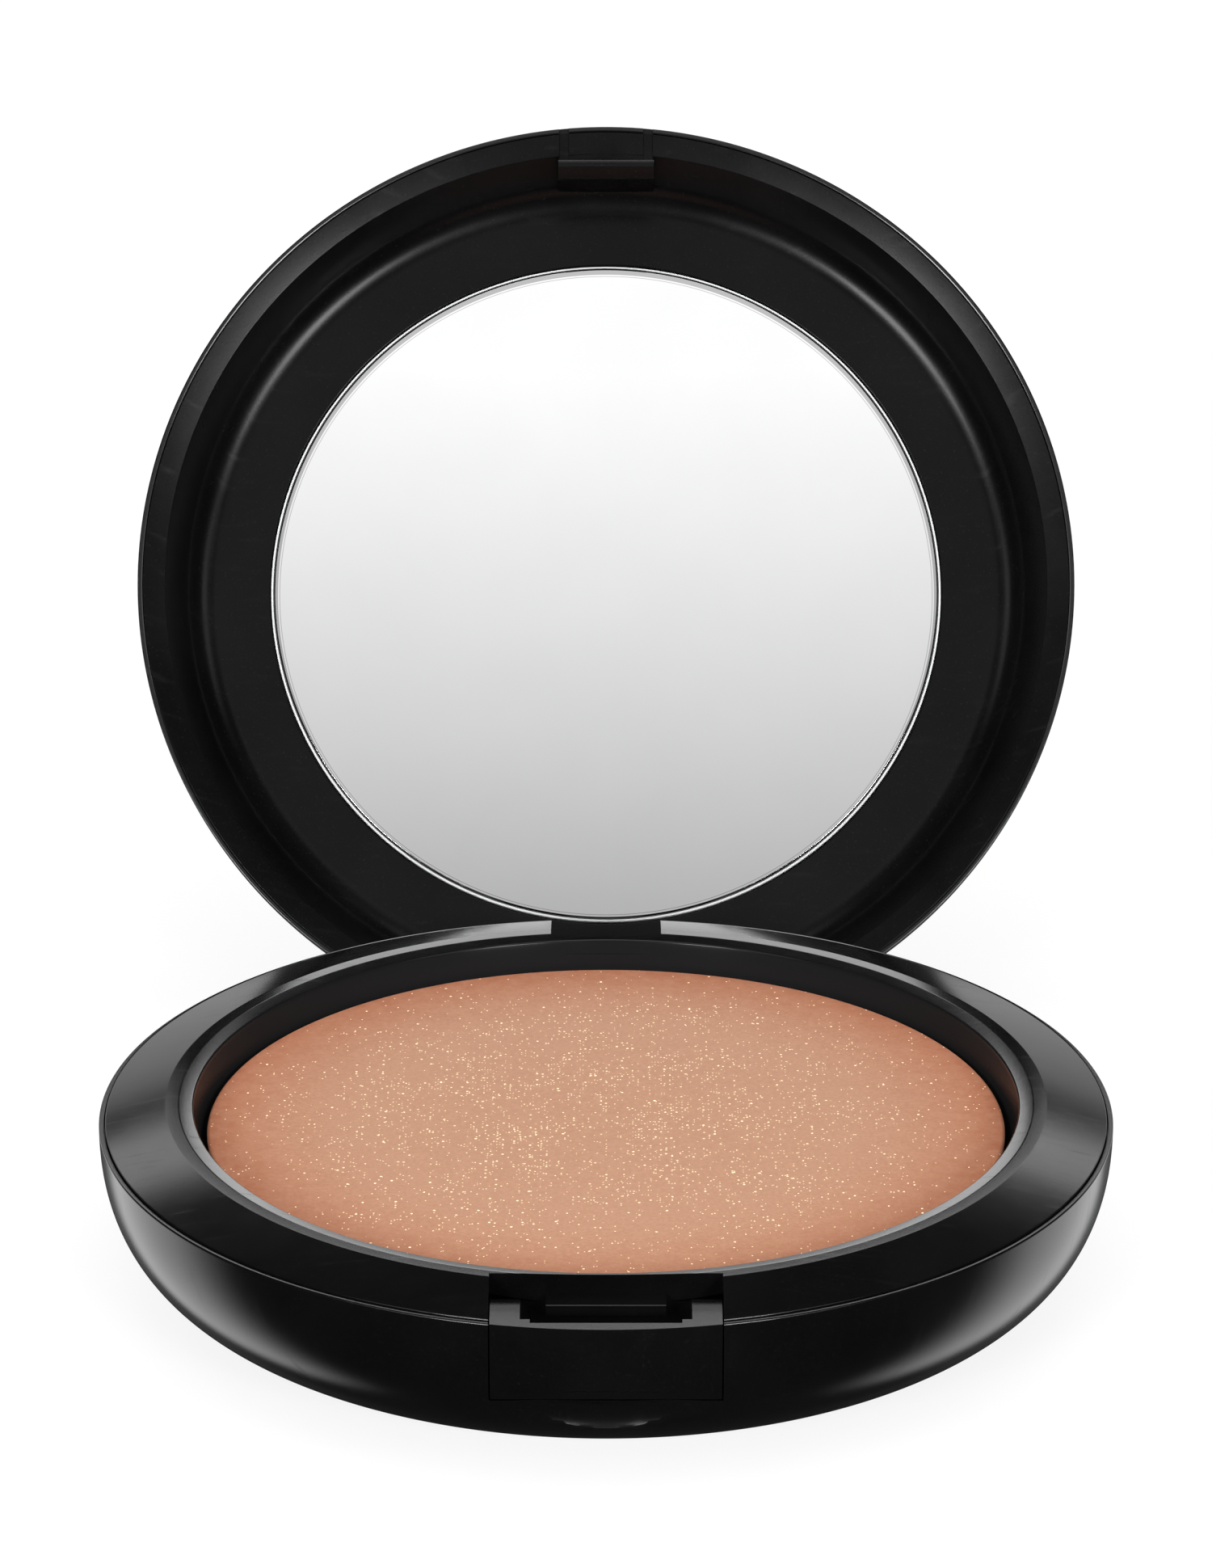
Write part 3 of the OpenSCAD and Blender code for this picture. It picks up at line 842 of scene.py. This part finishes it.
def make_lid_frame():
    floor_z, seat_r, seat_z = 4.75, MIRROR_R + 0.12, 5.65
    web_top = seat_z + 0.8
    rim_in, rim_out, top = 35.35, LIP_R - 0.02, 0.88
    run = 1 / math.tan(math.radians(60))
    fillet = 3.0
    corner_r = rim_in - (floor_z - rim(rim_in)) * run
    outline = rounded([
        (0, seat_z), (seat_r, seat_z), (seat_r, floor_z, 0.12), (corner_r, floor_z, fillet),
        (rim_in, rim(rim_in), 0.1), (rim_out, rim(LIP_R), 0.05), (rim_out, top), (INNER_R - FIT, top)
    ], 16)
    arm_top = 2
    curve = [p for p in outline if arm_top < p[1] < floor_z + 0.01 and p[0] > 28]
    inside = dome_hollow_points()
    outline += [p for p in inside if top + 0.02 < p[1] < 4.6]
    outline += [(31, web_top), (0, web_top)]
    body = lathe("lid_inner_frame", outline)
    pad_out = rim_in + 0.25
    pad = prism_x("pad", [
        (-pad_out, rim(pad_out)), (TONGUE_Y, rim(-TONGUE_Y)), (TONGUE_Y, 3), (-pad_out, 1.5)
    ], -PAD_HALF, PAD_HALF)
    add(body, pad)
    cut(body, hinge_relief(), *latch_grooves())

    arm_r, arm_half, arm_high = 2.2, 4.05, 7
    knuckle = circle_yz(HINGE_Y, HINGE_Z, arm_r, 180, 360, 48)
    arm = prism_x(
        "arm", [(HINGE_Y - arm_r, arm_high)] + knuckle + [(HINGE_Y + arm_r, arm_high)], -arm_half, arm_half
    )
    soften(arm, 0.15, 50, 3)
    wall_r = rim_in - (arm_top - rim(rim_in)) * run
    dish_r = seat_r + 0.38
    dish = lathe("dish", (
        [(0, arm_top), (wall_r, arm_top)] + list(reversed(curve)) + [(dish_r, floor_z), (dish_r, 9), (0, 9)]
    ))
    below = lathe("below", (
        [(0, -9), (CASE_R, -9), (CASE_R, 0)] + [p for p in inside if 0 < p[1] < 4] + [(0, 4)]
    ))
    keep_common(arm, below)
    cut(arm, dish)
    cut(arm, rod_x("bore", 0.79, -6, 6, HINGE_Y, HINGE_Z))

    back, tip = TONGUE_Y, -2.7
    front = back + 1
    tongue = prism_x("tongue", rounded([
        (back, 4.3), (back, tip + 0.6, 0.1), (back + 0.55, tip, 0.1), (back + 0.75, tip, 0.08),
        (front + 0.5, tip + 0.8, 0.1), (front + 0.5, tip + 1.25, 0.06), (front, tip + 1.4), (front, 4.7)
    ], 4), -TONGUE_HALF, TONGUE_HALF)
    add(body, arm, tongue)
    return shade(open_lid(body))


lid_dome = make_lid_shell()
place(lid_dome, "lid", "shell_plastic", "lid_shell", material=shell_black)
lid_inner = make_lid_frame()
place(lid_inner, "lid", "frame_plastic", "lid_frame", material=lid_black)


def make_mirror():
    back, bevel_w, bevel_h = MIRROR_FACE_Z + 1.0, 0.35, 0.2
    outline = rounded([
        (0, MIRROR_FACE_Z), (MIRROR_R - bevel_w, MIRROR_FACE_Z, 0.05),
        (MIRROR_R, MIRROR_FACE_Z + bevel_h, 0.08), (MIRROR_R, back, 0.05), (0, back)
    ], 4)
    return shade(open_lid(lathe("mirror_disc", outline)), 12)


mirror = make_mirror()
place(mirror, "lid", "mirror_glass", "mirror", material=mirror_mat)

for node, material in (
    ("powder_pan", pan_mat), ("pan_glue", glue_mat), ("mirror_glue", glue_mat),
    ("hinge_pin", steel_mat), ("base_label", label_mat),
):
    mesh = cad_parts[node].data
    mesh.materials.clear()
    mesh.materials.append(material)


# ---------------------------------------------------------------- stage, light and camera

def make_floor():
    bm = bmesh.new()
    bmesh.ops.create_grid(bm, x_segments=8, y_segments=8, size=3.0)
    mesh = bpy.data.meshes.new("floor")
    bm.to_mesh(mesh)
    bm.free()
    floor = bpy.data.objects.new("floor", mesh)
    bpy.context.scene.collection.objects.link(floor)
    n = Nodes("pale_floor")
    cloud = n.spread(n.noise(3, 2), 0.3, 0.7, 0, 1)
    tone = n.mix(cloud, (0.15, 0.15, 0.15, 1), (0.16, 0.16, 0.16, 1))
    glow = n.mix(cloud, (0.85, 0.85, 0.85, 1), (0.86, 0.86, 0.86, 1))
    n.set(Base_Color=tone, Roughness=0.9, Specular_IOR_Level=0.0, Emission_Color=glow, Emission_Strength=1.0)
    floor.data.materials.append(n.mat)
    floor.visible_glossy = False


def area(name, where, aim, size, power, size_y=None, diffuse=True):
    lamp = bpy.data.lights.new(name, "AREA")
    lamp.shape = "RECTANGLE" if size_y else "SQUARE"
    lamp.size = size
    if size_y:
        lamp.size_y = size_y
    lamp.energy = power
    obj = bpy.data.objects.new(name, lamp)
    obj.location = where
    obj.rotation_mode = "QUATERNION"
    obj.rotation_quaternion = (Vector(aim) - Vector(where)).to_track_quat("-Z", "Y")
    obj.visible_diffuse = diffuse
    bpy.context.scene.collection.objects.link(obj)
    return obj


def make_world():
    """Studio surround: bright low behind and at the sides, a graded card high in front that the mirror
    shows, a light card overhead, and dark elsewhere. x, y and z are the parts of a ray's direction."""
    world = bpy.data.worlds.new("studio")
    world.use_nodes = True
    bpy.context.scene.world = world
    tree = world.node_tree
    tree.nodes.clear()

    def new(kind, **settings):
        node = tree.nodes.new(kind)
        for key, value in settings.items():
            setattr(node, key, value)
        return node

    def ramp(value, low, high, to_low, to_high, kind="SMOOTHSTEP"):
        node = new("ShaderNodeMapRange", interpolation_type=kind)
        for key, number in (("From Min", low), ("From Max", high), ("To Min", to_low), ("To Max", to_high)):
            node.inputs[key].default_value = number
        tree.links.new(value, node.inputs["Value"])
        return node.outputs["Result"]

    def times(a, b, operation="MULTIPLY"):
        node = new("ShaderNodeMath", operation=operation)
        tree.links.new(a, node.inputs[0])
        if isinstance(b, float):
            node.inputs[1].default_value = b
        else:
            tree.links.new(b, node.inputs[1])
        return node.outputs["Value"]

    direction = new("ShaderNodeTexCoord").outputs["Generated"]
    split = new("ShaderNodeSeparateXYZ")
    tree.links.new(direction, split.inputs[0])
    x, y, z = split.outputs["X"], split.outputs["Y"], split.outputs["Z"]
    width = new("ShaderNodeMath", operation="ABSOLUTE")
    tree.links.new(x, width.inputs[0])
    width = width.outputs["Value"]

    below = ramp(z, -0.22, -0.02, 1.0, 0.0)
    sides = times(times(ramp(width, 0.36, 0.50, 0.0, 1.6), ramp(y, 0.02, 0.42, 0.0, 1.0)), below)
    back = ramp(y, 0.50, 0.85, 0.0, 0.78)
    back_high = times(times(back, ramp(z, -0.10, 0.0, 0.0, 1.0)), ramp(z, 0.272, 0.33, 1.0, 0.0))
    back_low = times(times(back, ramp(width, 0.10, 0.28, 0.0, 0.10)), below)
    behind = times(back_high, back_low, "ADD")
    front = times(ramp(y, -0.30, -0.20, 1.0, 0.0), ramp(width, 0.18, 0.24, 1.0, 0.0))
    card = times(ramp(z, 0.55, 0.60, 0.0, 1.0), ramp(z, 0.92, 0.98, 1.0, 0.0))
    fade = times(ramp(z, 0.60, 0.745, 0.395, 1.0, "LINEAR"), ramp(z, 0.78, 0.90, 1.0, 0.62))
    total = times(times(sides, behind, "ADD"), times(times(front, card), fade), "ADD")
    overhead = times(ramp(z, 0.925, 0.97, 0.0, 2.6), ramp(y, 0.04, 0.12, 1.0, 0.0))
    total = times(times(total, overhead, "ADD"), 0.02, "ADD")
    shader = new("ShaderNodeBackground")
    tree.links.new(total, shader.inputs["Color"])
    shader.inputs["Strength"].default_value = 1.0
    tree.links.new(shader.outputs[0], new("ShaderNodeOutputWorld").inputs["Surface"])


def make_camera():
    data = bpy.data.cameras.new("camera")
    data.lens = 165.47
    data.sensor_width = 36
    data.clip_start = 0.01
    data.clip_end = 20
    cam = bpy.data.objects.new("camera", data)
    cam.location = (0, -0.488816, 0.228130)
    cam.rotation_euler = (math.radians(68.783), 0, 0)
    bpy.context.scene.collection.objects.link(cam)
    bpy.context.scene.camera = cam


bpy.context.scene.view_settings.view_transform = "Standard"
make_floor()
make_world()
make_camera()
sun = bpy.data.lights.new("sky_fill", "SUN")
sun.energy = 2.05
sun.angle = math.radians(100)
sun_object = bpy.data.objects.new("sky_fill", sun)
sun_object.rotation_euler = (math.radians(-14), 0, 0)
sun_object.visible_glossy = False
bpy.context.scene.collection.objects.link(sun_object)
area("back_card", (0, 1.6, 0.89), (0, 0, 0.02), 2.4, 4.3, size_y=0.28)
lid_middle = (0, 0.058, 0.035)
for side in (-1, 1):
    front = (side * 0.516, -0.96, 0.415)
    area("front_softbox", front, lid_middle, 0.28, 7.0)
    area("front_glint", front, lid_middle, 0.28, 8.0, diffuse=False)
    area("side_softbox", (side * 0.75, -0.56, 0.76), lid_middle, 0.30, 0.7)
